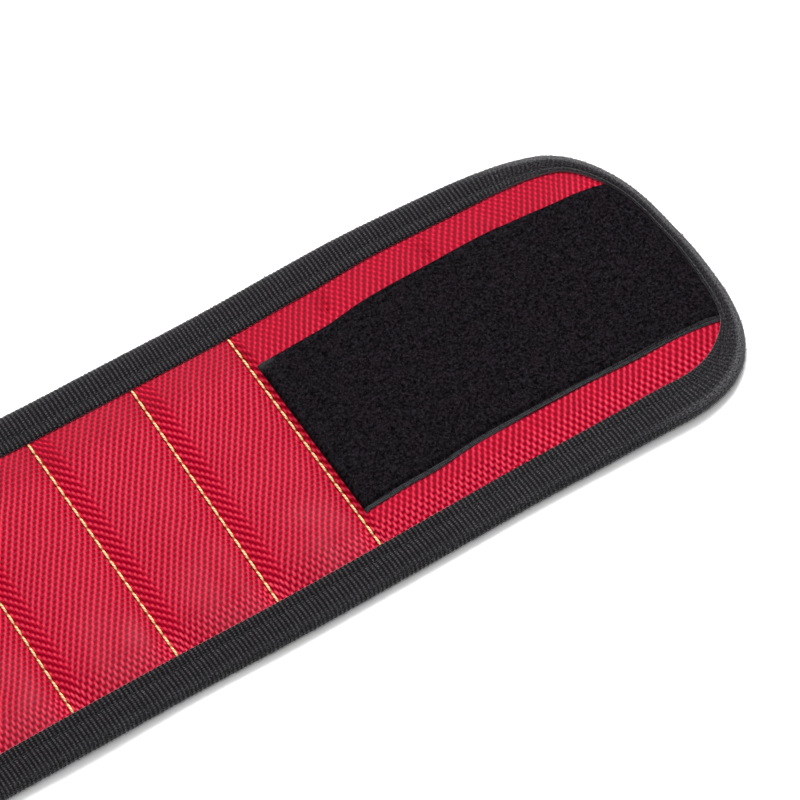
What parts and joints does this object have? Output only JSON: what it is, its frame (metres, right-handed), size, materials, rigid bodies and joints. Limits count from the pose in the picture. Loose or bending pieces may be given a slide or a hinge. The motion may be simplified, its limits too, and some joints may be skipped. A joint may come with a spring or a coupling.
{
  "type": "magnetic wristband",
  "caption": "Padded fabric wristband with magnets in stitched pockets, a pile patch on one flap and a hook patch under the other, bound all round with woven tape.",
  "frame": {"origin": "under the middle of the band's length and width, on the surface that it lies on", "axes": "+X along the band towards the tip of the loop flap, +Y across it towards its rear edge, +Z out of the outer face"},
  "size_m": [0.33, 0.09, 0.008],
  "materials": {
    "outer_panel": "heavy basket-weave polyester cloth with a slight sheen",
    "lining": "black spacer mesh with small open cells",
    "foam": "soft open-cell foam, covered on every side",
    "binding_tape": "black ribbed woven tape, folded over the edge",
    "loop_pile": "black brushed loop pile with a plain selvedge",
    "hook_tape": "black hook tape with rows of small hooks",
    "seam_thread": "pale yellow sewing thread",
    "magnet": "nickel-plated disc magnet, hidden in its pocket"
  },
  "bodies": {
    "hook_flap": {"outer_panel_hook_flap": "outer_panel", "lining_hook_flap": "lining", "foam_hook_flap": "foam", "binding_hook_flap": "binding_tape", "hook_patch": "hook_tape"},
    "pocket_1": {"outer_panel_pocket_1": "outer_panel", "lining_pocket_1": "lining", "foam_pocket_1": "foam", "binding_rear_pocket_1": "binding_tape", "binding_front_pocket_1": "binding_tape", "magnet_pocket_1_rear": "magnet", "magnet_pocket_1_front": "magnet", "pocket_seam_1": "seam_thread"},
    "pocket_2": {"outer_panel_pocket_2": "outer_panel", "lining_pocket_2": "lining", "foam_pocket_2": "foam", "binding_rear_pocket_2": "binding_tape", "binding_front_pocket_2": "binding_tape", "magnet_pocket_2_rear": "magnet", "magnet_pocket_2_front": "magnet", "pocket_seam_2": "seam_thread"},
    "pocket_3": {"outer_panel_pocket_3": "outer_panel", "lining_pocket_3": "lining", "foam_pocket_3": "foam", "binding_rear_pocket_3": "binding_tape", "binding_front_pocket_3": "binding_tape", "magnet_pocket_3_rear": "magnet", "magnet_pocket_3_front": "magnet", "pocket_seam_3": "seam_thread"},
    "pocket_4": {"outer_panel_pocket_4": "outer_panel", "lining_pocket_4": "lining", "foam_pocket_4": "foam", "binding_rear_pocket_4": "binding_tape", "binding_front_pocket_4": "binding_tape", "magnet_pocket_4_rear": "magnet", "magnet_pocket_4_front": "magnet", "pocket_seam_4": "seam_thread"},
    "pocket_5": {"outer_panel_pocket_5": "outer_panel", "lining_pocket_5": "lining", "foam_pocket_5": "foam", "binding_rear_pocket_5": "binding_tape", "binding_front_pocket_5": "binding_tape", "magnet_pocket_5_rear": "magnet", "magnet_pocket_5_front": "magnet", "pocket_seam_5": "seam_thread"},
    "loop_base": {"outer_panel_loop_base": "outer_panel", "lining_loop_base": "lining", "foam_loop_base": "foam", "binding_rear_loop_base": "binding_tape", "binding_front_loop_base": "binding_tape", "loop_patch_base": "loop_pile", "pocket_seam_6": "seam_thread"},
    "loop_tip": {"outer_panel_loop_tip": "outer_panel", "lining_loop_tip": "lining", "foam_loop_tip": "foam", "binding_loop_tip": "binding_tape", "loop_patch_tip": "loop_pile"}
  },
  "joints": [
    {"name": "seam_fold_1", "type": "hinge", "parent": "pocket_1", "child": "hook_flap", "pos_m": [-0.0925, 0, 0], "axis": [0, -1, 0], "range_deg": [-12, 75]},
    {"name": "seam_fold_2", "type": "hinge", "parent": "pocket_2", "child": "pocket_1", "pos_m": [-0.0635, 0, 0], "axis": [0, -1, 0], "range_deg": [-12, 37]},
    {"name": "seam_fold_3", "type": "hinge", "parent": "pocket_3", "child": "pocket_2", "pos_m": [-0.0345, 0, 0], "axis": [0, -1, 0], "range_deg": [-12, 37]},
    {"name": "seam_fold_4", "type": "hinge", "parent": "pocket_3", "child": "pocket_4", "pos_m": [-0.0055, 0, 0], "axis": [0, 1, 0], "range_deg": [-12, 37]},
    {"name": "seam_fold_5", "type": "hinge", "parent": "pocket_4", "child": "pocket_5", "pos_m": [0.0235, 0, 0], "axis": [0, 1, 0], "range_deg": [-12, 37]},
    {"name": "seam_fold_6", "type": "hinge", "parent": "pocket_5", "child": "loop_base", "pos_m": [0.0525, 0, 0], "axis": [0, 1, 0], "range_deg": [-12, 56]},
    {"name": "loop_flap_fold", "type": "hinge", "parent": "loop_base", "child": "loop_tip", "pos_m": [0.093, 0, 0], "axis": [0, 1, 0], "range_deg": [-12, 81]}
  ]
}
